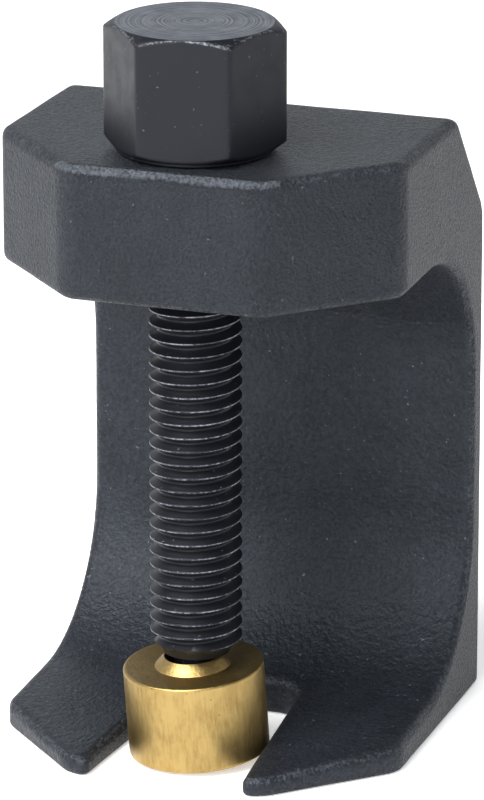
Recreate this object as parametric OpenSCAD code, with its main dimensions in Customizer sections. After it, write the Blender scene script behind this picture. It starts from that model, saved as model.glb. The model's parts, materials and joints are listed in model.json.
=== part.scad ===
// Fork-type ball joint separator. A forged C-frame with a forked foot carries a
// hex-headed forcing screw in its thick head. The screw pushes on a steel ball, and
// a brass thrust cap turns and rocks on that ball, held on by a snap ring.
// X runs across the fork, Y from the fork tips (-) to the web (+), and Z up.
// The origin is the middle of the frame's footprint, on the fork's underside.

/* [Frame] */
// Width of the frame at its front corners
frame_w = 64.1; // [50:0.1:90]
// Depth of the frame from the fork tips to the back of the web
frame_d = 60; // [54:0.5:90]
// Height of the frame from the fork's underside to the top of the head
frame_h = 96; // [80:0.5:150]
// Thickness of the head that holds the screw
head_t = 21; // [14:0.1:30]
// Thickness of the upright web
web_t = 5.5; // [4:0.1:12]
// Forging draft of each side, over the depth behind the front corners
side_draft = 0.7; // [0:0.1:2]
// Depth of the slanted front corners
corner_run = 17; // [8:0.5:22]
// Depth of the slanted corner between the head's top and the back
back_chamfer_d = 13.5; // [5:0.5:22]
// Height of that slanted corner
back_chamfer_h = 16; // [5:0.5:25]
// Radius of the jaw's inner corners
jaw_r = 22; // [10:0.5:26]

/* [Fork] */
// Thickness of the fork at its tips
tip_t = 3; // [2:0.1:6]
// Slope of the fork's upper face, rising to the web (degrees)
fork_slope = 4; // [0:0.5:8]
// Width of the flat end of each prong
tip_flat = 3.2; // [2:0.1:8]
// Length of the slot from the fork tips
slot_l = 35; // [30:0.5:40]
// Angle of each side of the slot, opening towards the tips (degrees)
slot_flare = 3.5; // [0:0.5:8]
// Radius of the slot's inner corners
slot_r = 4; // [1:0.5:8]

/* [Screw] */
// Distance from the front face to the screw's axis
screw_setback = 15; // [13.5:0.5:24]
// Crest diameter of the thread
thread_d = 14; // [11:0.1:20]
// Threads per inch
thread_tpi = 12; // [9:1:16]
// Width across the flats of the hex head
hex_af = 24; // [19:0.5:32]
// Height of the hex head above its bearing face
hex_h = 18.8; // [10:0.1:26]
// Height of the round bearing face under the hex
hex_seat_h = 0.5; // [0.3:0.1:2]
// Turn of the hex about the screw's axis (degrees)
hex_turn = 11; // [0:1:60]

/* [Thrust cap] */
// Diameter of the brass cap
cap_d = 21.5; // [16:0.1:28]
// Height of the cap's cylinder
cap_h = 13.8; // [11:0.1:22]
// Height of the conical collar on top of the cap
collar_h = 1.5; // [0.5:0.1:4]
// Solid thickness under the ball
cap_floor = 4; // [2:0.1:8]
// Height of the cap above the fork's underside with the screw fully in
cap_lift = 1.1; // [0.5:0.1:6]
// Lean of the loose cap at rest, which is also the most it can rock (degrees)
cap_lean = 4.6; // [0:0.1:6]
// Compass direction in which the top of the cap leans, from +X (degrees)
cap_lean_dir = 229; // [0:1:359]
// Diameter of the thrust ball
ball_d = 6; // [4:0.5:8]
// Thickness of the snap ring's wire
ring_wire = 1.2; // [0.8:0.1:2]

/* [Clearances] */
// Running clearance of the thread in the head, on the radius
thread_gap = 0.05; // [0.01:0.01:0.1]
// Clearance of the ball in its seat and over the cap's floor
ball_gap = 0.02; // [0.01:0.01:0.1]
// Running clearance of the snap ring in its groove
ring_gap = 0.05; // [0.01:0.01:0.1]
// Gap between the hex and the head when the screw is fully in
seat_gap = 0.1; // [0.05:0.05:0.5]
// Gap between the cap and each side of the slot
cap_side_gap = 0.6; // [0.5:0.1:4]
// Gap left between loose pieces when the cap rocks as far as it can
rock_gap = 0.12; // [0.1:0.01:0.5]

/* [Hidden] */
$fn = 96;
eps = 0.01;
over = 1;

// Frame outline
front_y = -frame_d / 2;
back_y = frame_d / 2;
corner_y = front_y + corner_run;
web_y = back_y - web_t;
axis_y = front_y + screw_setback;
jaw_z = frame_h - head_t;

// Slot, whose sides pass the cap at the screw's axis
slot_half = cap_d / 2 + cap_side_gap;
function slot_half_at(y) = slot_half + (axis_y - y) * tan(slot_flare);
slot_end_y = front_y + slot_l;
front_half = slot_half_at(front_y) + tip_flat;

// Upper face of the fork, and the centre of the lower jaw corner that rolls into it
function fork_z(y) = tip_t + (y - front_y) * tan(fork_slope);
jaw_y = web_y - jaw_r;
low_z = fork_z(jaw_y) + jaw_r / cos(fork_slope);
high_z = jaw_z - jaw_r;

// Stack inside the cap, measured with the cap upright
floor_z = cap_lift + cap_floor;
ball_z = floor_z + ball_gap + ball_d / 2;
cap_top_z = cap_lift + cap_h;
collar_z = cap_top_z + collar_h;
function sway(z) = abs(z - ball_z) * tan(cap_lean);
function rise(r) = r * sin(cap_lean);

// Nose of the screw, which holds the ball and sits under the snap ring
seat_wall = 1.1;
seat_wrap = 0.8;
seat_dip = 0.5;
nose_edge = 0.3;
nose_r = ball_d / 2 + seat_wall;
nose_low_z = ball_z - seat_wrap;
nose_high_z = ball_z + ball_d / 2 - seat_dip;
ring_catch = 0.45;
ring_in_r = nose_r - ring_catch;
ring_mid_r = ring_in_r + ring_wire / 2;
ring_out_r = ring_in_r + ring_wire;
ring_z = nose_high_z + rise(nose_r) + rock_gap + ring_wire / 2;
neck_r = ring_in_r - sway(ring_z) - rock_gap / 2;

// Hollow of the cap: a chamber for the nose, the ring's groove, and the way in
chamber_r = nose_r + sway(nose_high_z) + rock_gap;
groove_r = ring_out_r + ring_gap;
entry_r = max(nose_r + ring_gap * 2, neck_r + sway(collar_z) + rock_gap);
collar_lip = 0.2;
collar_top_r = entry_r + collar_lip;
collar_low_r = collar_top_r + collar_h;
cap_edge = 0.35;

// Thread, drawn as rings of the true thread section at the true pitch
inch = 25.4;
thread_pitch = inch / thread_tpi;
thread_r = thread_d / 2;
iso_depth = 0.6134;
thread_depth = iso_depth * thread_pitch;
root_r = thread_r - thread_depth;
flank = thread_depth * tan(30);
root_flat = thread_pitch / 6;
first_crest_drop = 0.5;
first_crest_rise = 0.25;

// Plain end of the screw between the thread and the neck
lead_step = 0.55;
lead_r = root_r - lead_step;
shoulder_z = collar_z + rise(collar_top_r) + rock_gap * 2;
lead_h = 1.2;
thread_low_z = shoulder_z + lead_h;
hex_z = frame_h + seat_gap;
thread_rows = floor((hex_z - thread_low_z - thread_pitch / 2) / thread_pitch);
bore_r = thread_r + thread_gap;
bore_chamfer = 1;

// Hex head, with a 30 degree chamfer at both ends
hex_corner_r = hex_af / 2 / cos(30);
hex_face_share = 0.99;
hex_face_r = hex_face_share * hex_af / 2;
hex_top_z = hex_z + hex_seat_h + hex_h;

// Plan of the frame, the same for the head and the fork
module plan_outline() {
    half = frame_w / 2;
    back_half = half - side_draft;
    polygon([
        [-front_half, front_y],
        [front_half, front_y],
        [half, corner_y],
        [back_half, back_y],
        [-back_half, back_y],
        [-half, corner_y]
    ]);
}

// Prism along X from a side view drawn in Y and Z
module across(width) {
    rotate([90, 0, 90])
        translate([0, 0, -width / 2])
            linear_extrude(height = width)
                children();
}

// Cylinder along X, centred on the middle plane
module cross_round(r, y, z, width) {
    translate([-width / 2, y, z])
        rotate([0, 90, 0])
            cylinder(h = width, r = r);
}

// Open space of the jaw, with a round corner under the head and one over the fork
module jaw_space() {
    width = frame_w + 2 * over;
    low_y = jaw_y + jaw_r * sin(fork_slope);
    across(width)
        polygon([
            [front_y - over, jaw_z],
            [jaw_y, jaw_z],
            [web_y, high_z],
            [web_y, low_z],
            [low_y, fork_z(low_y)],
            [front_y - over, fork_z(front_y - over)]
        ]);
    cross_round(jaw_r, jaw_y, high_z, width);
    cross_round(jaw_r, jaw_y, low_z, width);
}

// Slanted corner between the head's top and the back
module back_corner_cut() {
    across(frame_w + 2 * over)
        polygon([
            [back_y, frame_h - back_chamfer_h],
            [back_y + over, frame_h - back_chamfer_h],
            [back_y + over, frame_h + over],
            [back_y - back_chamfer_d, frame_h + over],
            [back_y - back_chamfer_d, frame_h]
        ]);
}

// Slot between the prongs, with round inner corners
module fork_slot() {
    height = low_z;
    corner_mid_y = slot_end_y - slot_r;
    corner_mid_x = slot_half_at(corner_mid_y) - slot_r / cos(slot_flare);
    side_y = corner_mid_y + slot_r * sin(slot_flare);
    side_x = slot_half_at(side_y);
    mouth_y = front_y - over;
    mouth_x = slot_half_at(mouth_y);
    translate([0, 0, -over]) {
        linear_extrude(height = height)
            polygon([
                [-mouth_x, mouth_y],
                [mouth_x, mouth_y],
                [side_x, side_y],
                [corner_mid_x, slot_end_y],
                [-corner_mid_x, slot_end_y],
                [-side_x, side_y]
            ]);
        for (side = [-1, 1])
            translate([side * corner_mid_x, corner_mid_y, 0])
                cylinder(h = height, r = slot_r);
    }
}

// Hole for the screw through the head, with a chamfer at each mouth
module screw_bore() {
    wide_r = bore_r + bore_chamfer;
    translate([0, axis_y, jaw_z - over])
        cylinder(h = head_t + 2 * over, r = bore_r);
    translate([0, axis_y, jaw_z - eps])
        cylinder(h = bore_chamfer, r1 = wide_r, r2 = bore_r);
    translate([0, axis_y, frame_h - bore_chamfer + eps])
        cylinder(h = bore_chamfer, r1 = bore_r, r2 = wide_r);
}

module frame() {
    color("#33363a")
        difference() {
            linear_extrude(height = frame_h)
                plan_outline();
            jaw_space();
            back_corner_cut();
            fork_slot();
            screw_bore();
        }
}

// Hex prism cut by a chamfer cone at each end
module hex_head() {
    low = hex_z + hex_seat_h;
    reach = hex_corner_r + over;
    slope_h = (reach - hex_face_r) * tan(30);
    intersection() {
        translate([0, 0, low])
            rotate([0, 0, hex_turn])
                cylinder(h = hex_h, r = hex_corner_r, $fn = 6);
        rotate_extrude()
            polygon([
                [0, low - eps],
                [hex_face_r, low - eps],
                [hex_face_r, low],
                [reach, low + slope_h],
                [reach, hex_top_z - slope_h],
                [hex_face_r, hex_top_z],
                [hex_face_r, hex_top_z + eps],
                [0, hex_top_z + eps]
            ]);
    }
}

// One groove of the thread, read upwards from its lower crest
function groove_points(z) = [
    [thread_r, z - root_flat / 2 - flank],
    [root_r, z - root_flat / 2],
    [root_r, z + root_flat / 2],
    [thread_r, z + root_flat / 2 + flank]
];

// Shank from the nose to the hex, read upwards
module shank() {
    first_z = thread_low_z + thread_pitch / 2;
    rotate_extrude()
        polygon(concat(
            [
                [0, nose_low_z],
                [nose_r - nose_edge, nose_low_z],
                [nose_r, nose_low_z + nose_edge],
                [nose_r, nose_high_z],
                [neck_r, nose_high_z],
                [neck_r, shoulder_z],
                [lead_r, shoulder_z],
                [lead_r, thread_low_z - (root_r - lead_r)],
                [root_r, thread_low_z],
                [thread_r - first_crest_drop, thread_low_z + first_crest_rise]
            ],
            [for (i = [1 : thread_rows - 1]) each groove_points(first_z + i * thread_pitch)],
            [
                [thread_r, hex_z],
                [hex_face_r, hex_z],
                [hex_face_r, hex_z + hex_seat_h + eps],
                [0, hex_z + hex_seat_h + eps]
            ]
        ));
}

module forcing_screw() {
    color("#232427")
        translate([0, axis_y, 0])
            difference() {
                union() {
                    shank();
                    hex_head();
                }
                translate([0, 0, ball_z])
                    sphere(r = ball_d / 2 + ball_gap);
                translate([0, 0, nose_low_z - over])
                    cylinder(h = ball_z - nose_low_z + over, r = ball_d / 2 + ball_gap);
            }
}

module thrust_ball() {
    color("#c9ccd0")
        translate([0, axis_y, ball_z])
            sphere(d = ball_d);
}

// Leans its children about the centre of the ball
module leaning() {
    translate([0, axis_y, ball_z])
        rotate([0, 0, cap_lean_dir])
            rotate([0, cap_lean, 0])
                translate([0, 0, -ball_z])
                    children();
}

module snap_ring() {
    color("#8d9096")
        leaning()
            rotate_extrude()
                translate([ring_mid_r, ring_z])
                    circle(d = ring_wire, $fn = 32);
}

module thrust_cap() {
    cap_r = cap_d / 2;
    groove_low = ring_z - ring_wire / 2 - ring_gap;
    groove_high = ring_z + ring_wire / 2 + ring_gap;
    color("#b8953f")
        leaning()
            rotate_extrude()
                polygon([
                    [0, cap_lift],
                    [cap_r - cap_edge, cap_lift],
                    [cap_r, cap_lift + cap_edge],
                    [cap_r, cap_top_z - cap_edge],
                    [cap_r - cap_edge, cap_top_z],
                    [collar_low_r, cap_top_z],
                    [collar_top_r, collar_z],
                    [entry_r, collar_z],
                    [entry_r, groove_high],
                    [groove_r, groove_high],
                    [groove_r, groove_low],
                    [chamber_r, groove_low],
                    [chamber_r, floor_z],
                    [0, floor_z]
                ]);
}

frame();
forcing_screw();
thrust_ball();
snap_ring();
thrust_cap();
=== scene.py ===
"""Fork-type ball joint separator: phosphated forging, blackened forcing screw, turned brass thrust cap.

Lengths inside the surface functions are millimetres in the CAD frame; meshes are made in metres.
"""

import json
import math
from functools import partial
from types import SimpleNamespace

import bmesh
import bpy
import numpy as np
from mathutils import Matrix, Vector


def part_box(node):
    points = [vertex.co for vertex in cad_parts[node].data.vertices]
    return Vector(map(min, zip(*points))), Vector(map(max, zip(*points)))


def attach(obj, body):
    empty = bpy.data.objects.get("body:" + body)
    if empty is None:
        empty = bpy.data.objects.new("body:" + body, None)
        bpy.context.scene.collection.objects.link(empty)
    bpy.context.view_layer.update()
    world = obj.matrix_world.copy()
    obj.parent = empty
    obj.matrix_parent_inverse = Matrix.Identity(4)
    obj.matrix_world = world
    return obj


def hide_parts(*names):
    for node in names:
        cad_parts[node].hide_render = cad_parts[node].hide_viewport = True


bl_info = {
    "name": "Ball Joint Separator",
    "version": (1, 0, 0),
    "blender": (4, 5, 0),
    "location": "3D View > Sidebar > Separator",
    "description": "Builds a forged ball joint separator around its CAD frame",
    "category": "Add Mesh",
}

MM = 1000  # Millimetres in a metre
SAME_POINT = 5e-7  # Points closer than half a micrometre are one
NO_LENGTH = 1e-8  # An edge shorter than this is none
# The nodes used most, and the numbers of a colour Mix node's sockets
NOISE, RANGE, MIX = "ShaderNodeTexNoise", "ShaderNodeMapRange", "ShaderNodeMix"
MATH, BUMP, SHADER = "ShaderNodeMath", "ShaderNodeBump", "ShaderNodeBsdfPrincipled"
SHARE, BASE, OVER, MIXED = 0, 6, 7, 2

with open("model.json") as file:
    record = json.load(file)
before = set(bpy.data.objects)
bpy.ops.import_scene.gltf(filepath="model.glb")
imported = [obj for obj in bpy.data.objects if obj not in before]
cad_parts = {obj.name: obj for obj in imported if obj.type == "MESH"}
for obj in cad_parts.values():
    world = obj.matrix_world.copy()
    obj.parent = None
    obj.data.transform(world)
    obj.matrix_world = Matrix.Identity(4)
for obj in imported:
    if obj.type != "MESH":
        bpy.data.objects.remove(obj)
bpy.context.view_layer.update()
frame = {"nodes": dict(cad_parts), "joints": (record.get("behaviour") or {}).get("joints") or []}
JOINTS = {joint["name"]: joint for joint in frame["joints"]}
FRAME_LOW, FRAME_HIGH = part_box("frame")
SCREW_LOW, SCREW_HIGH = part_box("forcing_screw")
BALL_CENTRE = np.array(JOINTS["cap_rock"]["pos_m"]) * MM
CAP_AXIS = np.array(JOINTS["cap_swivel"]["axis"])
AXIS_Y = BALL_CENTRE[1]


def linear(colour):
    """The linear value of an sRGB hex colour."""
    channels = np.array([int(colour[i : i + 2], 16) for i in (1, 3, 5)]) / 255
    low, high = channels / 12.92, ((channels + 0.055) / 1.055) ** 2.4
    return tuple(float(c) for c in np.where(channels <= 0.04045, low, high))


def length(name, description, size):
    """A length property whose default is given in millimetres."""
    return bpy.props.FloatProperty(
        name=name, description=description, default=size / MM, min=0.0, precision=5, unit="LENGTH"
    )


def angle(name, description, degrees):
    """An angle property whose default is given in degrees."""
    return bpy.props.FloatProperty(
        name=name, description=description, default=math.radians(degrees), unit="ROTATION"
    )


def tint(name, description, colour):
    """A colour property whose default is an sRGB hex value."""
    return bpy.props.FloatVectorProperty(
        name=name,
        description=description,
        default=linear(colour),
        size=3,
        min=0.0,
        max=1.0,
        subtype="COLOR",
    )


def in_millimetres(sizes):
    """The lengths of a property group, by name, in millimetres."""
    lengths = [rna.identifier for rna in sizes.bl_rna.properties if rna.unit == "LENGTH"]
    return SimpleNamespace(**{name: getattr(sizes, name) * MM for name in lengths})


class ForgingSizes(bpy.types.PropertyGroup):
    """Sizes and colours of the forged frame."""

    head: length("Head", "Thickness of the head that holds the screw", 21.0)
    web: length("Web", "Thickness of the upright web", 5.5)
    draft: length("Draft", "How far each side leans in towards the back", 0.7)
    corner_run: length("Corner run", "Depth of the slanted front corners", 17.0)
    slant_depth: length("Slant depth", "Depth of the slanted corner behind the head's top", 13.5)
    slant_height: length("Slant height", "Height of that slanted corner", 16.0)
    jaw_radius: length("Jaw radius", "Radius of the jaw's two inner corners", 22.0)
    tip: length("Tip", "Thickness of the fork at its tips", 3.0)
    slope: angle("Slope", "Rise of the fork's upper face towards the web", 4.0)
    tip_flat: length("Tip flat", "Width of the flat end of each prong", 3.2)
    slot: length("Slot", "Length of the slot from the fork tips", 35.0)
    slot_half: length("Slot half width", "Half the slot's width beside the screw's axis", 11.35)
    flare: angle("Flare", "Opening of each side of the slot towards the tips", 3.5)
    slot_radius: length("Slot radius", "Radius of the slot's two inner corners", 4.0)
    bore: length("Bore", "Radius of the plain hole that stands for the threaded one", 7.05)
    mouth: length("Mouth", "Size of the break at the bore's ends", 1.0)
    mouth_round: length("Mouth round", "Rounding of the bore's ends", 0.4)
    front_round: length("Front round", "Rounding of the upright front corners", 1.8)
    side_round: length("Side round", "Rounding of the upright side corners", 1.6)
    head_round: length("Head round", "Rounding of the head's top edges", 1.8)
    back_round: length("Back round", "Rounding of the slanted back corner", 3.0)
    fork_round: length("Fork round", "Rounding of the jaw's edges and the fork's upper edges", 1.6)
    under_round: length("Under round", "Rounding of the edges round the underside", 0.9)
    tip_round: length("Tip round", "Rounding of the prongs' upright corners", 1.3)
    waviness: length("Waviness", "How far the forged skin dips below true", 0.06)
    cell: length("Cell", "Spacing of the surface points", 0.6)
    skin: tint("Skin", "Phosphated skin in the pits of the grain", "#141619")
    bloom: tint("Bloom", "Paler phosphate on top of the grain", "#24272d")
    # This colour also paints the highlight on the head's front top edge
    rub: tint("Rub", "Steel showing through along rubbed edges", "#7b8088")
    sheen: tint("Sheen", "Faint blue of the skin's highlights", "#eaf3ff")


class ScrewSizes(bpy.types.PropertyGroup):
    """Sizes and colours of the forcing screw."""

    thread: length("Thread", "Crest diameter of the thread", 14.0)
    pitch: length("Pitch", "Pitch of the thread, twelve to the inch", 25.4 / 12)
    thread_depth: length("Thread depth", "Depth of the thread on the radius", 1.298)
    thread_start: length("Thread start", "Height at which the thread starts", 18.19)
    phase: length("Phase", "Height of a crest above the thread's start at the right side", 1.23)
    lead: length("Lead", "Radius of the plain end below the thread", 5.15)
    shoulder: length("Shoulder", "Height of the plain end's lower face", 16.99)
    neck: length("Neck", "Radius of the neck inside the cap", 3.30)
    nose: length("Nose", "Radius of the nose that holds the ball", 4.10)
    nose_top: length("Nose top", "Height of the nose's upper face", 10.62)
    seat: length("Seat", "Radius of the spherical seat in the nose", 3.02)
    hex_flats: length("Hex flats", "Width across the flats of the hex", 24.0)
    hex_low: length("Hex bearing face", "Height of the round bearing face under the hex", 96.1)
    hex_seat: length("Hex seat", "Height of the round bearing face", 0.5)
    hex_turn: angle("Hex turn", "Turn of the hex about the screw's axis", 11.0)
    black: tint("Black", "Oil-blackened steel", "#131418")
    # Painted sheen of the tool-mark rings on the hex's faced top
    brush: tint("Turned black", "Blackened steel where the tool marks catch light", "#474c56")
    rub: tint("Rub", "Steel showing through on crests and corners", "#9a9ea6")
    sheen: tint("Sheen", "Faint blue of the black's highlights", "#f1f7ff")


class CapSizes(bpy.types.PropertyGroup):
    """Sizes and colours of the thrust cap, its ball and its ring."""

    radius: length("Radius", "Radius of the brass cap", 10.75)
    low: length("Low", "Height of the upright cap's lower face", 1.1)
    floor: length("Floor", "Height of the floor under the ball", 5.1)
    top: length("Top", "Height of the cap's flat shoulder", 14.9)
    collar: length("Collar", "Height of the cone on top", 16.4)
    edge: length("Edge", "Size of the edge breaks", 0.35)
    chamber: length("Chamber", "Radius of the hollow around the nose", 4.42)
    groove: length("Groove", "Radius of the snap ring's groove", 4.90)
    groove_low: length("Groove low", "Height of the groove's lower side", 11.02)
    groove_high: length("Groove high", "Height of the groove's upper side", 12.32)
    entry: length("Entry", "Radius of the way in", 4.20)
    collar_top: length("Collar top", "Radius of the cone's upper rim", 4.40)
    collar_low: length("Collar foot", "Radius of the cone's foot", 5.90)
    wire: length("Wire", "Thickness of the snap ring's wire", 1.2)
    ring_radius: length("Ring radius", "Radius of the ring to the middle of its wire", 4.25)
    ring_height: length("Ring height", "Height of the ring", 11.67)
    ring_gap: angle("Ring gap", "Opening of the snap ring", 38.0)
    brass: tint("Brass", "Turned brass", "#a9905b")
    tarnish: tint("Tarnish", "Brown bloom and specks on the brass", "#63481f")
    spring: tint("Spring steel", "Bare spring wire", "#8d9096")
    bearing: tint("Bearing steel", "Ground and polished ball", "#c4c7cb")


class StageSizes(bpy.types.PropertyGroup):
    """Camera, lights and floor."""

    azimuth: angle("Azimuth", "Camera's turn from the front towards the right", 19.3)
    elevation: angle("Elevation", "Camera's height above the floor", 17.74)
    distance: length("Distance", "Camera's distance from what it looks at", 928.8)
    aside: length("Aside", "How far right of the screw's axis the camera looks", 6.95)
    height: length("Height", "Height at which the camera looks", 56.76)
    lens: bpy.props.FloatProperty(
        name="Lens", description="Focal length", default=278.3, unit="CAMERA"
    )
    sky: bpy.props.FloatProperty(
        name="Sky", description="Strength of the white surroundings", default=0.76
    )
    tent: tint("Tent", "White surroundings", "#f9fcff")
    floor: tint("Floor", "Pale floor", "#f4f4f4")


def quads_between(rows, columns):
    """Quads joining the points of a grid listed row by row; columns cross rows points outwards."""
    first = np.arange(rows - 1)[:, None] * columns + np.arange(columns - 1)[None, :]
    return np.stack([first, first + 1, first + columns + 1, first + columns], axis=-1).reshape(-1, 4)


def piece(name, points, quads, marks, merge=True):
    """A mesh object made of millimetre points and quads, with each mark as a point attribute.

    With merge, the points of seams, poles and clipped rows that coincide become one.
    """
    mesh = bpy.data.meshes.new(name)
    mesh.vertices.add(len(points))
    mesh.vertices.foreach_set("co", (points / MM).astype(np.float32).ravel())
    mesh.loops.add(quads.size)
    mesh.loops.foreach_set("vertex_index", quads.astype(np.int32).ravel())
    mesh.polygons.add(len(quads))
    mesh.polygons.foreach_set("loop_start", np.arange(0, quads.size, 4, dtype=np.int32))
    mesh.update(calc_edges=True)
    for label, values in marks.items():
        flat = values.ndim == 1
        layer = mesh.attributes.new(label, "FLOAT" if flat else "FLOAT_VECTOR", "POINT")
        layer.data.foreach_set("value" if flat else "vector", values.astype(np.float32).ravel())
    if merge:
        shell = bmesh.new()
        shell.from_mesh(mesh)
        bmesh.ops.remove_doubles(shell, verts=shell.verts, dist=SAME_POINT)
        bmesh.ops.dissolve_degenerate(shell, edges=shell.edges, dist=NO_LENGTH)
        shell.to_mesh(mesh)
        shell.free()
    mesh.shade_smooth()
    made = bpy.data.objects.new(name, mesh)
    bpy.context.scene.collection.objects.link(made)
    return made


def meet(a, b, radius):
    """What is inside both fields a and b, with the edge where they meet rolled to the radius.

    Inside it is the larger of the two, and near the edge the distance from the arc's centre.
    """
    rolled = np.hypot(np.maximum(a + radius, 0), np.maximum(b + radius, 0))
    return np.minimum(-radius, np.maximum(a, b)) + rolled


def forging_field(sizes, x, y, z, sharp=False):
    """Signed distance in millimetres from the forging's skin, negative in the steel.

    Flat planes and the flared slot make the plan, and the round-cornered jaw and the bore are
    taken out of it. With sharp, only the upright edges are rolled and nothing ripples.
    """
    mm = in_millimetres(sizes)

    def roll(radius):
        return 1e-3 if sharp else radius

    half, top = FRAME_HIGH.x * MM, FRAME_HIGH.z * MM
    front, back = FRAME_LOW.y * MM, FRAME_HIGH.y * MM
    corner = front + mm.corner_run
    flare, slope = sizes.flare, sizes.slope
    side = np.abs(x)

    front_half = mm.slot_half + (AXIS_Y - front) * math.tan(flare) + mm.tip_flat
    step = half - front_half
    slant = (side - front_half) * mm.corner_run - (y - front) * step
    slant = slant / math.hypot(mm.corner_run, step)
    lean = mm.draft / (back - corner)
    flank = (side - half + (y - corner) * lean) / math.hypot(1, lean)
    plan = meet(front - y, slant, mm.front_round)
    plan = meet(plan, flank, mm.side_round)
    plan = meet(plan, y - back, mm.side_round)
    walls = (side - mm.slot_half - (AXIS_Y - y) * math.tan(flare)) * math.cos(flare)
    slot = meet(walls, y - front - mm.slot, mm.slot_radius)
    in_fork = z < top / 3
    plan = np.where(in_fork, meet(plan, -slot, mm.tip_round), plan)

    body = meet(plan, z - top, roll(mm.head_round))
    deep, tall = mm.slant_depth, mm.slant_height
    rear = ((y - back) * tall + (z - top + tall) * deep) / math.hypot(deep, tall)
    body = meet(body, rear, roll(mm.back_round))
    body = meet(body, -z, roll(mm.under_round))

    under, inner = top - mm.head, back - mm.web
    rise = (mm.tip + (y - front) * math.tan(slope) - z) * math.cos(slope)
    jaw = meet(meet(y - inner, z - under, mm.jaw_radius), rise, mm.jaw_radius)
    body = meet(body, -jaw, roll(mm.fork_round))

    reach = np.hypot(x, y - AXIS_Y) - mm.bore
    from_ends = np.minimum(top - z, np.maximum(z - under, 0))
    mouth = (reach - mm.mouth + from_ends) / math.sqrt(2)
    in_head = (top + under) / 3 - z
    hole = np.maximum(np.minimum(reach, mouth), in_head)
    body = meet(body, -hole, roll(mm.mouth_round))
    if sharp:
        return body
    # Waves 19 to 27 mm long, each bent by a slower one, so that no dip repeats
    ripple = np.sin(x / 3.1 + 1.3 * np.sin(z / 5.7))
    ripple = ripple * np.sin(z / 4.3 + 1.1 * np.sin(y / 6.1)) * np.sin(y / 3.7 + 0.9)
    return body + mm.waviness * 0.5 * (1 + ripple)


def between(axis, start, stop):
    """Slices that take start to stop along one axis of three and everything along the others."""
    pick = [slice(None)] * 3
    pick[axis] = slice(start, stop)
    return tuple(pick)


def skin_of(field, low, high, cell):
    """Points and quads of the surface where a field is zero.

    Each grid cell that the surface crosses gets the mean of its edge crossings, moved onto the
    surface along the gradient, and each grid edge that it crosses joins the four cells round it.
    """
    # Starting off a whole cell keeps the flat faces away from the grid's own points
    steps = [np.arange(a - 1.37 * cell, b + 2 * cell, cell) for a, b in zip(low, high)]
    grid = np.stack(np.meshgrid(*steps, indexing="ij"), axis=-1)
    value = field(*np.moveaxis(grid, -1, 0))
    cells = tuple(n - 1 for n in value.shape)
    total, count = np.zeros(cells + (3,)), np.zeros(cells)
    for axis in range(3):
        head, tail = between(axis, 0, -1), between(axis, 1, None)
        a, b = value[head], value[tail]
        crossed = (a < 0) != (b < 0)
        share = np.where(crossed, a / np.where(crossed, a - b, 1), 0)
        place = grid[head].copy()
        place[..., axis] += share * cell
        place *= crossed[..., None]
        u, v = [k for k in range(3) if k != axis]
        for i, j in ((0, 0), (0, 1), (1, 0), (1, 1)):
            pick = [slice(None)] * 3
            pick[u], pick[v] = slice(i, cells[u] + i), slice(j, cells[v] + j)
            total += place[tuple(pick)]
            count += crossed[tuple(pick)]
    used = count > 0
    number = np.full(cells, -1)
    number[used] = np.arange(used.sum())
    points = total[used] / count[used][:, None]
    # Four steps bring a point that started within a cell onto the surface
    for _ in range(4):
        slope = gradient(field, points)
        steepness = np.maximum((slope**2).sum(1), 0.25)
        points -= field(*points.T)[:, None] * slope / steepness[:, None]
    quads = []
    inside = value < 0
    for axis in range(3):
        head = [slice(1, -1)] * 3
        tail = [slice(1, -1)] * 3
        head[axis], tail[axis] = slice(0, -1), slice(1, None)
        a, b = inside[tuple(head)], inside[tuple(tail)]
        u, v = (axis + 1) % 3, (axis + 2) % 3
        ring = []
        for du, dv in ((1, 1), (0, 1), (0, 0), (1, 0)):
            pick = [slice(None)] * 3
            pick[u], pick[v] = slice(1 - du, cells[u] - du), slice(1 - dv, cells[v] - dv)
            ring.append(number[tuple(pick)])
        ring = np.stack(ring, axis=-1)
        quads += [ring[a & ~b], ring[~a & b][:, ::-1]]
    return points, np.concatenate(quads)


def gradient(field, points):
    """Slope of a field at each point, from its change over a hundredth of a millimetre."""
    change = [field(*(points + 0.005 * e).T) - field(*(points - 0.005 * e).T) for e in np.eye(3)]
    return np.stack([rise / 0.01 for rise in change], axis=1)


def add(tree, kind, inputs=None, **settings):
    """Adds a node, sets its properties, and gives each input a value or a link from an output."""
    node = tree.nodes.new(kind)
    for key, value in settings.items():
        setattr(node, key, value)
    for key, value in (inputs or {}).items():
        socket = node.inputs[key]
        if isinstance(value, bpy.types.NodeSocket):
            tree.links.new(value, socket)
        else:
            socket.default_value = value
    return node


def new_material(name):
    """An empty node material and its tree."""
    material = bpy.data.materials.new(name)
    material.use_nodes = True
    material.node_tree.nodes.clear()
    return material, material.node_tree


def rgba(colour):
    """A colour property as four channels."""
    return (*colour, 1.0)


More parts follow.
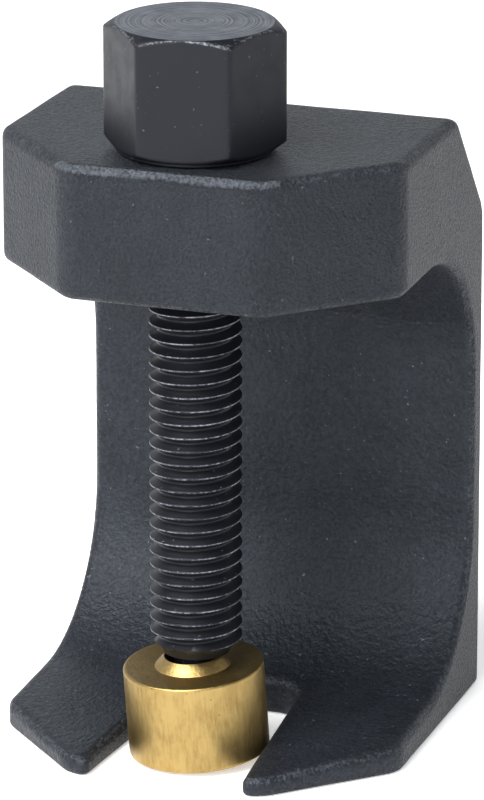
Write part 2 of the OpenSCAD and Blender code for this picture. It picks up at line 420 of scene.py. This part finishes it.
def phosphated_forging(sizes):
    """Manganese phosphate on a shot-blasted forging.

    It gives a satin, faintly blue charcoal skin with an orange-peel grain, paler patches, small
    bright specks, and steel showing where edges are rubbed, with a painted highlight on the head's
    front top edge.
    """
    material, tree = new_material("phosphated forging")
    place = add(tree, "ShaderNodeTexCoord").outputs["Object"]
    edge = add(tree, "ShaderNodeAttribute", attribute_name="edge").outputs["Fac"]
    smooth = add(tree, "ShaderNodeAttribute", attribute_name="smooth").outputs["Fac"]
    # Shot-blast grain is 0.3 mm across, drawn at 0.45 mm so that it shows
    grain = add(tree, NOISE, {"Vector": place, "Scale": 2100.0, "Detail": 3.0, "Roughness": 0.6})
    peel = add(tree, NOISE, {"Vector": place, "Scale": 900.0, "Detail": 3.0})
    patch = add(tree, NOISE, {"Vector": place, "Scale": 130.0, "Detail": 5.0, "Roughness": 0.65})
    mottle = add(
        tree,
        MATH,
        {0: patch.outputs["Fac"], 1: 0.45, 2: grain.outputs["Fac"]},
        operation="MULTIPLY_ADD",
    )
    bloom = add(tree, RANGE, {"Value": mottle.outputs[0], "From Min": 0.58, "From Max": 0.9})
    tone = add(
        tree,
        MIX,
        {SHARE: bloom.outputs["Result"], BASE: rgba(sizes.skin), OVER: rgba(sizes.bloom)},
        data_type="RGBA",
    )
    dot = add(tree, NOISE, {"Vector": place, "Scale": 1700.0, "Detail": 1.0})
    speck = add(
        tree,
        RANGE,
        {"Value": dot.outputs["Fac"], "From Min": 0.74, "From Max": 0.80, "To Max": 0.5},
    )
    dotted = add(
        tree,
        MIX,
        {SHARE: speck.outputs["Result"], BASE: tone.outputs[MIXED], OVER: rgba(sizes.rub)},
        data_type="RGBA",
    )
    # Edge wear in the rub colour; on the head's front top edge the raised mark also paints the
    # highlight of its roll
    broken = add(tree, MATH, {0: edge, 1: mottle.outputs[0]}, operation="MULTIPLY")
    worn = add(
        tree,
        RANGE,
        {"Value": broken.outputs[0], "From Min": 0.42, "From Max": 0.95, "To Max": 0.5},
    )
    colour = add(
        tree,
        MIX,
        {SHARE: worn.outputs["Result"], BASE: dotted.outputs[MIXED], OVER: rgba(sizes.rub)},
        data_type="RGBA",
    )
    rough = add(
        tree,
        RANGE,
        {
            "Value": grain.outputs["Fac"],
            "From Min": 0.3,
            "From Max": 0.7,
            "To Min": 0.50,
            "To Max": 0.36,
        },
    )
    coarse = add(tree, BUMP, {"Height": peel.outputs["Fac"], "Strength": 1.0, "Distance": 0.00026})
    relief = add(tree, RANGE, {"Value": smooth, "To Min": 1.0, "To Max": 0.3})
    fine = add(
        tree,
        BUMP,
        {
            "Height": grain.outputs["Fac"],
            "Strength": relief.outputs["Result"],
            "Distance": 0.0008,
            "Normal": coarse.outputs[0],
        },
    )
    shader = add(
        tree,
        SHADER,
        {
            "Base Color": colour.outputs[MIXED],
            "Metallic": 0.0,
            "Roughness": rough.outputs["Result"],
            "Specular IOR Level": 0.28,
            "Specular Tint": rgba(sizes.sheen),
            "Normal": fine.outputs[0],
        },
    )
    add(tree, "ShaderNodeOutputMaterial", {"Surface": shader.outputs[0]})
    return material


def blackened_steel(sizes):
    """Turned steel blackened in hot oil.

    It gives a deep black with a soft sheen, tool marks that ring the axis and are painted lighter on
    the faced top as a painted sheen, and bright crests and corners where the spanner and the head's
    thread have rubbed.
    """
    material, tree = new_material("blackened turned steel")
    place = add(tree, "ShaderNodeTexCoord").outputs["Object"]
    edge = add(tree, "ShaderNodeAttribute", attribute_name="edge").outputs["Fac"]
    turned = add(tree, "ShaderNodeAttribute", attribute_name="turned").outputs["Fac"]
    centred = add(
        tree,
        "ShaderNodeMapping",
        {"Vector": place, "Location": (0.0, -AXIS_Y / MM, 0.0), "Scale": (1.0, 1.0, 0.0)},
    )
    radius = add(tree, "ShaderNodeVectorMath", {0: centred.outputs[0]}, operation="LENGTH")
    # Facing marks are 0.1 mm apart, drawn at about 0.35 mm so that they show
    marks = add(
        tree,
        NOISE,
        {"W": radius.outputs["Value"], "Scale": 2800.0, "Detail": 1.0},
        noise_dimensions="1D",
    )
    ring = add(tree, RANGE, {"Value": marks.outputs["Fac"], "From Min": 0.38, "From Max": 0.62})
    patch = add(tree, NOISE, {"Vector": place, "Scale": 260.0, "Detail": 4.0, "Roughness": 0.6})
    grain = add(tree, NOISE, {"Vector": place, "Scale": 2400.0, "Detail": 2.0})
    streak = add(tree, MATH, {0: ring.outputs["Result"], 1: turned}, operation="MULTIPLY")
    dot = add(tree, NOISE, {"Vector": place, "Scale": 1500.0, "Detail": 1.0})
    chip = add(
        tree,
        RANGE,
        {"Value": dot.outputs["Fac"], "From Min": 0.745, "From Max": 0.79, "To Max": 0.25},
    )
    # The faced top's rings are painted in the lighter colour, a painted sheen that lightens the top
    tone = add(
        tree,
        MIX,
        {SHARE: streak.outputs[0], BASE: rgba(sizes.black), OVER: rgba(sizes.brush)},
        data_type="RGBA",
    )
    gritty = add(tree, MATH, {0: patch.outputs["Fac"], 1: grain.outputs["Fac"]}, operation="MULTIPLY")
    broken = add(tree, MATH, {0: edge, 1: gritty.outputs[0]}, operation="MULTIPLY")
    worn = add(
        tree,
        RANGE,
        {"Value": broken.outputs[0], "From Min": 0.16, "From Max": 0.38, "To Max": 0.75},
    )
    bare = add(tree, MATH, {0: worn.outputs["Result"], 1: chip.outputs["Result"]}, operation="MAXIMUM")
    colour = add(
        tree,
        MIX,
        {SHARE: bare.outputs[0], BASE: tone.outputs[MIXED], OVER: rgba(sizes.rub)},
        data_type="RGBA",
    )
    metal = add(tree, RANGE, {"Value": bare.outputs[0], "To Min": 0.0, "To Max": 0.85})
    rough = add(
        tree,
        RANGE,
        {
            "Value": patch.outputs["Fac"],
            "From Min": 0.3,
            "From Max": 0.7,
            "To Min": 0.34,
            "To Max": 0.50,
        },
    )
    soft = add(tree, BUMP, {"Height": grain.outputs["Fac"], "Strength": 0.4, "Distance": 0.00002})
    ringed = add(
        tree,
        BUMP,
        {
            "Height": streak.outputs[0],
            "Strength": 1.0,
            "Distance": 0.00002,
            "Normal": soft.outputs[0],
        },
    )
    shader = add(
        tree,
        SHADER,
        {
            "Base Color": colour.outputs[MIXED],
            "Metallic": metal.outputs["Result"],
            "Roughness": rough.outputs["Result"],
            "Specular IOR Level": 0.22,
            "Specular Tint": rgba(sizes.sheen),
            "Normal": ringed.outputs[0],
        },
    )
    add(tree, "ShaderNodeOutputMaterial", {"Surface": shader.outputs[0]})
    return material


def turned_brass(sizes):
    """Drawn brass bar, turned and wiped.

    It gives a warm yellow metal whose faint drawing lines run along the axis and spread its
    highlights, with a brown bloom and a few specks of tarnish.
    """
    material, tree = new_material("turned brass")
    upright = add(tree, "ShaderNodeAttribute", attribute_name="upright").outputs["Vector"]
    # Drawing lines are 0.1 mm apart, drawn at 0.4 mm so that they show, and run up the cap
    drawn = add(
        tree, "ShaderNodeMapping", {"Vector": upright, "Scale": (2500.0, 2500.0, 110.0)}
    )
    lines = add(
        tree,
        NOISE,
        {"Vector": drawn.outputs[0], "Scale": 1.0, "Detail": 3.0, "Roughness": 0.6},
    )
    patch = add(tree, NOISE, {"Vector": upright, "Scale": 240.0, "Detail": 4.0, "Roughness": 0.6})
    dot = add(tree, NOISE, {"Vector": upright, "Scale": 1500.0, "Detail": 1.0})
    speck = add(
        tree,
        RANGE,
        {"Value": dot.outputs["Fac"], "From Min": 0.74, "From Max": 0.80, "To Max": 0.6},
    )
    worked = add(
        tree, "ShaderNodeMapping", {"Vector": upright, "Scale": (1900.0, 1900.0, 380.0)}
    )
    fine = add(
        tree,
        NOISE,
        {"Vector": worked.outputs[0], "Scale": 1.0, "Detail": 4.0, "Roughness": 0.7},
    )
    smoke = add(tree, MATH, {0: patch.outputs["Fac"], 1: fine.outputs["Fac"]}, operation="MULTIPLY")
    bloom = add(
        tree,
        RANGE,
        {"Value": smoke.outputs[0], "From Min": 0.18, "From Max": 0.42, "To Max": 0.5},
    )
    stain = add(
        tree,
        MATH,
        {0: speck.outputs["Result"], 1: bloom.outputs["Result"]},
        operation="MAXIMUM",
    )
    colour = add(
        tree,
        MIX,
        {SHARE: stain.outputs[0], BASE: rgba(sizes.brass), OVER: rgba(sizes.tarnish)},
        data_type="RGBA",
    )
    rough = add(
        tree,
        RANGE,
        {
            "Value": lines.outputs["Fac"],
            "From Min": 0.3,
            "From Max": 0.7,
            "To Min": 0.32,
            "To Max": 0.46,
        },
    )
    mealy = add(tree, BUMP, {"Height": fine.outputs["Fac"], "Strength": 0.6, "Distance": 0.00009})
    ridged = add(
        tree,
        BUMP,
        {
            "Height": lines.outputs["Fac"],
            "Strength": 0.5,
            "Distance": 0.00003,
            "Normal": mealy.outputs[0],
        },
    )
    shader = add(
        tree,
        SHADER,
        {
            "Base Color": colour.outputs[MIXED],
            "Metallic": 1.0,
            "Roughness": rough.outputs["Result"],
            "Normal": ridged.outputs[0],
        },
    )
    add(tree, "ShaderNodeOutputMaterial", {"Surface": shader.outputs[0]})
    return material


def spring_wire(sizes):
    """Hard-drawn spring wire: bare grey steel with a dull sheen and fine marks from the die."""
    material, tree = new_material("drawn spring wire")
    place = add(tree, "ShaderNodeTexCoord").outputs["Object"]
    drawn = add(tree, NOISE, {"Vector": place, "Scale": 2600.0, "Detail": 2.0})
    rough = add(tree, RANGE, {"Value": drawn.outputs["Fac"], "To Min": 0.28, "To Max": 0.46})
    scored = add(tree, BUMP, {"Height": drawn.outputs["Fac"], "Strength": 0.3, "Distance": 0.00001})
    shader = add(
        tree,
        SHADER,
        {
            "Base Color": rgba(sizes.spring),
            "Metallic": 1.0,
            "Roughness": rough.outputs["Result"],
            "Normal": scored.outputs[0],
        },
    )
    add(tree, "ShaderNodeOutputMaterial", {"Surface": shader.outputs[0]})
    return material


def bearing_steel(sizes):
    """Hardened, ground and polished bearing steel: a near mirror, dulled in patches by grease."""
    material, tree = new_material("polished bearing steel")
    place = add(tree, "ShaderNodeTexCoord").outputs["Object"]
    smear = add(tree, NOISE, {"Vector": place, "Scale": 700.0, "Detail": 3.0})
    rough = add(
        tree,
        RANGE,
        {
            "Value": smear.outputs["Fac"],
            "From Min": 0.35,
            "From Max": 0.7,
            "To Min": 0.06,
            "To Max": 0.24,
        },
    )
    shader = add(
        tree,
        SHADER,
        {
            "Base Color": rgba(sizes.bearing),
            "Metallic": 1.0,
            "Roughness": rough.outputs["Result"],
        },
    )
    add(tree, "ShaderNodeOutputMaterial", {"Surface": shader.outputs[0]})
    return material


class ForgeFrame(bpy.types.Operator):
    """Makes the forged frame, whose rolled edges are too many for one grid, from its distance field"""

    bl_idname = "separator.forge_frame"
    bl_label = "Forged frame"

    def execute(self, context):
        sizes = context.scene.separator_forging
        mm = in_millimetres(sizes)
        field = partial(forging_field, sizes)
        low, high = np.array(FRAME_LOW) * MM, np.array(FRAME_HIGH) * MM
        points, quads = skin_of(field, low, high, mm.cell)
        fewest = 1000
        if len(quads) < fewest:
            raise RuntimeError("the forging came out empty; check its sizes")
        slope = gradient(field, points)
        # A rolled edge lies deep in the sharp-edged shape; the mark is full at an eighth of its round
        full_mark = 0.12 * mm.head_round
        edge = np.clip(-forging_field(sizes, *points.T, sharp=True) / full_mark, 0, 1)
        below_top, from_front = high[2] - points[:, 2], points[:, 1] - low[1]
        # The head's front top edge gets a painted highlight on top of its rubbed wear; other edges only
        # wear
        lit_brow, elsewhere = 2.5, 0.65
        edge *= np.where((below_top < lit_brow) & (from_front < lit_brow), 1.0, elsewhere)
        # The die leaves the jaw's inside, which looks up or forward, smoother than the outside
        to_web = high[1] - low[1] - mm.web + 1.5
        within = (below_top > mm.head - 0.2) & (from_front < to_web)
        within &= slope[:, 2] - slope[:, 1] > 0.6
        marks = {"edge": edge, "smooth": within.astype(float)}
        made = piece("forged_frame", points, quads, marks, merge=False)
        normals = slope / np.linalg.norm(slope, axis=1)[:, None]
        made.data.normals_split_custom_set_from_vertices(normals)
        made.data.materials.append(phosphated_forging(sizes))
        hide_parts("frame")
        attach(made, "frame")
        return {"FINISHED"}


def screw_rows(sizes, turn, hexagon):
    """Radius, height and marks of the screw's rings, from the ball seat to the hex, at every turn.

    The thread's rings are sheared by one pitch a turn, so that crests and roots climb as a
    right-hand helix, and are cut short by a cone at both ends. The hex's edges follow the 30
    degree chamfer cone.
    """
    mm = in_millimetres(sizes)
    crest = mm.thread / 2
    root = crest - mm.thread_depth
    nose, lead, start, pitch = mm.nose, mm.lead, mm.thread_start, mm.pitch
    low, top = SCREW_LOW.z * MM, SCREW_HIGH.z * MM
    sweep = np.linspace(math.pi / 2, 0, 14)
    seat = np.stack([mm.seat * np.cos(sweep), BALL_CENTRE[2] + mm.seat * np.sin(sweep)], axis=1)
    # The nose, the neck and the plain end, with their corners broken by 0.15 to 0.3 mm
    lower = np.array(
        [
            (mm.seat, low),
            (nose - 0.3, low),
            (nose, low + 0.3),
            (nose, mm.nose_top - 0.15),
            (nose - 0.15, mm.nose_top),
            (mm.neck, mm.nose_top),
            (mm.neck, mm.shoulder),
            (lead - 0.2, mm.shoulder),
            (lead - 0.05, mm.shoulder + 0.06),
            (lead, mm.shoulder + 0.2),
            (root - 0.1, start - 0.1),
        ]
    )
    plain = np.concatenate([seat, lower])
    below = np.repeat(plain[:, :, None], len(turn), axis=2)

    # One pitch of the thread, crest to crest: share of the pitch, radius, and how worn it is
    section = [
        (0, crest, 1),
        (0.045, crest, 0.7),
        (0.075, crest - 0.05, 0),
        (0.11, crest - 0.17, 0),
        (0.39, root + 0.075, 0),
        (0.44, root + 0.015, 0),
        (0.5, root, 0),
        (0.56, root + 0.015, 0),
        (0.61, root + 0.075, 0),
        (0.89, crest - 0.17, 0),
        (0.925, crest - 0.05, 0),
        (0.955, crest, 0.7),
    ]
    share, radius, bare = np.array(section).T
    # The thread stops short of the hex, and each end runs out up a cone of this steepness
    relief, run_out = 0.6, 1.3
    end = mm.hex_low - relief
    first, last = -2, int(math.ceil((end - start) / pitch)) + 3
    lift = (np.arange(first, last)[:, None] + share).ravel() * pitch
    height = start + mm.phase + lift[:, None] + pitch * turn / (2 * math.pi)
    height = np.clip(height, start, end)
    cone = root + run_out * np.minimum(height - start, end - height)
    thread = np.minimum(np.tile(radius, last - first)[:, None], cone)
    worn = np.tile(bare, last - first)[:, None] * (thread > crest - 0.2)

    # The hex, upwards: radius, height, how worn it is, and whether it is the faced top
    bearing, bottom, chip = 0.99 * mm.hex_flats / 2, mm.hex_low + mm.hex_seat, 0.14
    rise = (hexagon - bearing) * math.tan(math.radians(30))
    corner = (hexagon - hexagon.min()) / (hexagon.max() - hexagon.min())
    upper = [
        (root, mm.hex_low, 0, 0),
        (bearing - 0.25, mm.hex_low, 0, 0),
        (bearing, mm.hex_low + 0.2, 0, 0),
        (bearing, bottom, 0, 0),
        (hexagon - chip, bottom + rise - 0.6 * chip, 0.4, 0),
        (hexagon, bottom + rise + chip, 0.4, 0),
        (hexagon, bottom + rise + 0.5, 0.5 * corner**12, 0),
        (hexagon, top - rise - 0.5, 0.5 * corner**12, 0),
        (hexagon, top - rise - chip, 0.75, 0),
        (hexagon - chip, np.minimum(top - rise + 0.6 * chip, top - 0.05), 0.75, 0),
        (np.minimum(bearing + 0.05, hexagon - chip), top - 0.04, 0.3, 0),
        (bearing - 0.06, top, 0.3, 1),
        (bearing - 0.3, top, 0, 1),
        (0.6 * bearing, top, 0, 1),
        (0.2 * bearing, top, 0, 1),
        (0, top, 0, 1),
    ]
    upper = np.array([np.broadcast_arrays(turn, *row)[1:] for row in upper])

    radii = np.concatenate([below[:, 0], thread, upper[:, 0]])
    heights = np.concatenate([below[:, 1], height, upper[:, 1]])
    edge = np.concatenate([np.zeros_like(below[:, 0]), worn, upper[:, 2]])
    turned = np.concatenate([np.zeros_like(below[:, 0]), np.zeros_like(thread), upper[:, 3]])
    return radii, heights, edge, turned


class TurnScrew(bpy.types.Operator):
    """Makes the forcing screw: one grid of rings from the ball seat through the thread to the hex"""

    bl_idname = "separator.turn_screw"
    bl_label = "Forcing screw"

    def execute(self, context):
        sizes = context.scene.separator_screw
        # Columns crowd towards the hex's corners, six sides of twenty
        within = math.radians(30) * np.sin(np.pi / 2 * np.linspace(-1, 1, 21)[:-1])
        middles = np.radians(30 + 60 * np.arange(6))[:, None]
        turn = (middles + within).ravel()
        turn = np.append(turn, turn[0] + 2 * np.pi)
        # A high power of the six facings gives the hexagon corners that are barely rounded
        power = 70
        facing = np.maximum(np.cos(turn - middles), 0)
        hexagon = sizes.hex_flats / 2 * MM / (facing**power).sum(0) ** (1 / power)
        radii, heights, edge, turned = screw_rows(sizes, turn, hexagon)
        around = turn + sizes.hex_turn
        points = np.stack(
            [radii * np.cos(around), AXIS_Y + radii * np.sin(around), heights], axis=-1
        ).reshape(-1, 3)
        marks = {"edge": edge.ravel(), "turned": turned.ravel()}
        made = piece("threaded_screw", points, quads_between(*radii.shape), marks)
        made.data.set_sharp_from_angle(angle=math.radians(38))
        made.data.materials.append(blackened_steel(sizes))
        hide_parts("forcing_screw")
        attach(made, "screw")
        return {"FINISHED"}


def leaned(points):
    """Points about an upright axis, turned about the ball's centre until it is the cap's own."""
    side = np.cross(CAP_AXIS, (0, 1, 0))
    side /= np.linalg.norm(side)
    basis = np.stack([side, np.cross(CAP_AXIS, side), CAP_AXIS])
    return BALL_CENTRE + (points - (0, 0, BALL_CENTRE[2])) @ basis


class TurnCap(bpy.types.Operator):
    """Makes the brass thrust cap: one turned profile carried round its leaning axis, inside and out"""

    bl_idname = "separator.turn_cap"
    bl_label = "Thrust cap"

    def execute(self, context):
        sizes = context.scene.separator_cap
        mm = in_millimetres(sizes)
        radius, edge, low, top = mm.radius, mm.edge, mm.low, mm.top
        sweep = np.linspace(0, math.pi / 2, 5)
        corner = edge * np.stack([np.sin(sweep), 1 - np.cos(sweep)], axis=1)
        # Rings 0.2 to 0.3 mm from each corner keep the shading of the flat faces flat
        profile = np.concatenate(
            [
                [(0, low), (0.5 * radius, low), (radius - edge - 0.3, low)],
                corner + (radius - edge, low),
                [(radius, low + edge + 0.2), (radius, (low + top) / 2), (radius, top - edge - 0.2)],
                (corner * (1, -1))[::-1] + (radius - edge, top),
                [(radius - edge - 0.2, top), (0.5 * (radius + mm.collar_low), top)],
                [(mm.collar_low, top), (mm.collar_top, mm.collar)],
                [(mm.entry + 0.06, mm.collar), (mm.entry, mm.collar - 0.08)],
                [(mm.entry, mm.groove_high), (mm.groove, mm.groove_high)],
                [(mm.groove, mm.groove_low), (mm.chamber, mm.groove_low)],
                [(mm.chamber, mm.floor), (0, mm.floor)],
            ]
        )
        turn = np.linspace(0, 2 * np.pi, 145)
        out, height = profile[:, 0, None], profile[:, 1, None]
        upright = np.stack(
            [out * np.cos(turn), out * np.sin(turn), np.repeat(height, len(turn), axis=1)], axis=-1
        ).reshape(-1, 3)
        quads = quads_between(len(profile), len(turn))
        made = piece("brass_cap", leaned(upright), quads, {"upright": upright / MM})
        made.data.set_sharp_from_angle(angle=math.radians(32))
        made.data.materials.append(turned_brass(sizes))
        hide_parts("thrust_cap")
        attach(made, "cap")
        return {"FINISHED"}


class BendRing(bpy.types.Operator):
    """Makes the snap ring: a round wire carried along an open arc, its ends rounded over"""

    bl_idname = "separator.bend_ring"
    bl_label = "Snap ring"

    def execute(self, context):
        sizes = context.scene.separator_cap
        mm = in_millimetres(sizes)
        wire, bend = mm.wire / 2, mm.ring_radius
        reach = bend * (2 * np.pi - sizes.ring_gap)
        over = np.sin(np.linspace(0, np.pi / 2, 7))
        between_ends = np.linspace(wire, reach - wire, 120)[1:-1]
        travel = np.concatenate([wire * (1 - over[::-1]), between_ends, reach - wire * (1 - over)])
        past = np.maximum(np.maximum(wire - travel, travel - reach + wire), 0) / wire
        thick = wire * np.sqrt(np.clip(1 - past**2, 0, 1))[:, None]
        along = (travel / bend + sizes.ring_gap / 2)[:, None]
        round_wire = np.linspace(0, 2 * np.pi, 25)
        out = bend + thick * np.cos(round_wire)
        height = mm.ring_height + thick * np.sin(round_wire)
        points = np.stack([out * np.cos(along), out * np.sin(along), height], axis=-1).reshape(-1, 3)
        quads = quads_between(len(travel), len(round_wire))[:, ::-1]
        made = piece("snap_wire", leaned(points), quads, {})
        made.data.materials.append(spring_wire(sizes))
        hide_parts("snap_ring")
        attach(made, "ring")
        return {"FINISHED"}


class FinishBall(bpy.types.Operator):
    """Gives the CAD thrust ball its polished bearing steel"""

    bl_idname = "separator.finish_ball"
    bl_label = "Thrust ball"

    def execute(self, context):
        ball = frame["nodes"]["thrust_ball"]
        ball.data.materials.clear()
        ball.data.materials.append(bearing_steel(context.scene.separator_cap))
        ball.data.shade_smooth()
        return {"FINISHED"}


def set_camera(scene, sizes):
    """The camera, aimed beside the screw's axis from the stage's turn, height and distance."""
    turn, rise = sizes.azimuth, sizes.elevation
    right = np.array([math.cos(turn), math.sin(turn), 0])
    level = np.array([math.sin(turn), -math.cos(turn), 0])
    towards = math.cos(rise) * level + (0, 0, math.sin(rise))
    aim = np.array([0, AXIS_Y / MM, sizes.height]) + sizes.aside * right
    camera = bpy.data.objects.new("camera", bpy.data.cameras.new("camera"))
    camera.data.lens, camera.data.sensor_width = sizes.lens, 36.0
    camera.data.clip_start, camera.data.clip_end = 0.01, 50.0
    camera.location = aim + sizes.distance * towards
    camera.rotation_euler = Vector(-towards).to_track_quat("-Z", "Y").to_euler()
    scene.collection.objects.link(camera)
    scene.camera = camera


def lay_floor(sizes):
    """A pale matt floor, eight metres square, with a little light of its own to keep it even."""
    across = np.linspace(-4, 4, 3) * MM
    x, y = np.meshgrid(across, across)
    points = np.stack([x, y, 0 * x], axis=-1).reshape(-1, 3)
    floor = piece("floor", points, quads_between(3, 3), {})
    pale, tree = new_material("pale matt board")
    matt = add(
        tree,
        SHADER,
        {
            "Base Color": rgba(sizes.floor),
            "Roughness": 0.9,
            "Specular IOR Level": 0.1,
            "Emission Color": (1.0, 1.0, 1.0, 1.0),
            "Emission Strength": 0.45,
        },
    )
    add(tree, "ShaderNodeOutputMaterial", {"Surface": matt.outputs[0]})
    floor.data.materials.append(pale)


def pitch_tent(scene, sizes):
    """White surroundings, open overhead, so that what faces steeply up stays dark."""
    world = bpy.data.worlds.new("white tent")
    world.use_nodes = True
    tree = world.node_tree
    way = add(tree, "ShaderNodeTexCoord").outputs["Generated"]
    height = add(tree, "ShaderNodeSeparateXYZ", {0: way}).outputs["Z"]
    # The tent's wall ends between 30 and 58 degrees up
    glow = add(
        tree,
        RANGE,
        {
            "Value": height,
            "From Min": 0.5,
            "From Max": 0.85,
            "To Min": sizes.sky,
            "To Max": 0.15 * sizes.sky,
        },
    )
    tent = tree.nodes["Background"]
    tent.inputs["Color"].default_value = rgba(sizes.tent)
    tree.links.new(glow.outputs["Result"], tent.inputs["Strength"])
    scene.world = world


# The soft lights: name, place and size in metres, power in watts, and colour
LIGHTS = (
    ("left light", (-0.75, -0.2, 0.45), (0.5, 0.6), 0.15, "#f1f8ff"),
    ("top light", (-0.25, -0.50, 0.84), (0.8, 0.5), 16.0, "#ffffff"),
    ("front light", (-0.10, -0.92, 0.40), (0.6, 0.3), 5.0, "#ffffff"),
    ("back light", (-0.4, 0.92, 0.38), (0.5, 0.2), 0.4, "#f1f8ff"),
)


def hang_light(scene, name, place, size, watts, colour):
    """A soft rectangular light, turned to face the middle of the tool."""
    lamp = bpy.data.lights.new(name, "AREA")
    lamp.shape = "RECTANGLE"
    lamp.size, lamp.size_y = size
    lamp.energy, lamp.color = watts, linear(colour)
    made = bpy.data.objects.new(name, lamp)
    made.location = place
    middle = Vector((0, 0, 0.055))
    made.rotation_euler = (middle - made.location).to_track_quat("-Z", "Y").to_euler()
    scene.collection.objects.link(made)


class SetStage(bpy.types.Operator):
    """Sets the camera, the pale floor, the white surroundings and the soft lights"""

    bl_idname = "separator.set_stage"
    bl_label = "Stage"

    def execute(self, context):
        scene, sizes = context.scene, context.scene.separator_stage
        scene.view_settings.view_transform = "Standard"
        set_camera(scene, sizes)
        lay_floor(sizes)
        pitch_tent(scene, sizes)
        for light in LIGHTS:
            hang_light(scene, *light)
        return {"FINISHED"}


STEPS = (ForgeFrame, TurnScrew, TurnCap, BendRing, FinishBall, SetStage)


class SeparatorPanel(bpy.types.Panel):
    """Lists the separator's pieces and its stage"""

    bl_idname = "VIEW3D_PT_separator"
    bl_label = "Ball Joint Separator"
    bl_space_type = "VIEW_3D"
    bl_region_type = "UI"
    bl_category = "Separator"

    def draw(self, context):
        for step in STEPS:
            self.layout.operator(step.bl_idname)


SIZES = {
    "separator_forging": ForgingSizes,
    "separator_screw": ScrewSizes,
    "separator_cap": CapSizes,
    "separator_stage": StageSizes,
}


def register():
    """Makes the sizes, the operators and the panel known."""
    for group in SIZES.values():
        bpy.utils.register_class(group)
    for name, group in SIZES.items():
        setattr(bpy.types.Scene, name, bpy.props.PointerProperty(type=group))
    for step in STEPS:
        bpy.utils.register_class(step)
    bpy.utils.register_class(SeparatorPanel)


def unregister():
    """Takes away what register added, in the reverse order."""
    bpy.utils.unregister_class(SeparatorPanel)
    for step in reversed(STEPS):
        bpy.utils.unregister_class(step)
    for name in SIZES:
        delattr(bpy.types.Scene, name)
    for group in reversed(SIZES.values()):
        bpy.utils.unregister_class(group)


def plain(box):
    """A box's corners as lists of plain numbers."""
    return [[float(v) for v in corner] for corner in box]


def main():
    """Builds every piece and the stage."""
    register()
    for step in STEPS:
        group, call = step.bl_idname.split(".")
        getattr(getattr(bpy.ops, group), call)()


if __name__ == "__main__":
    main()
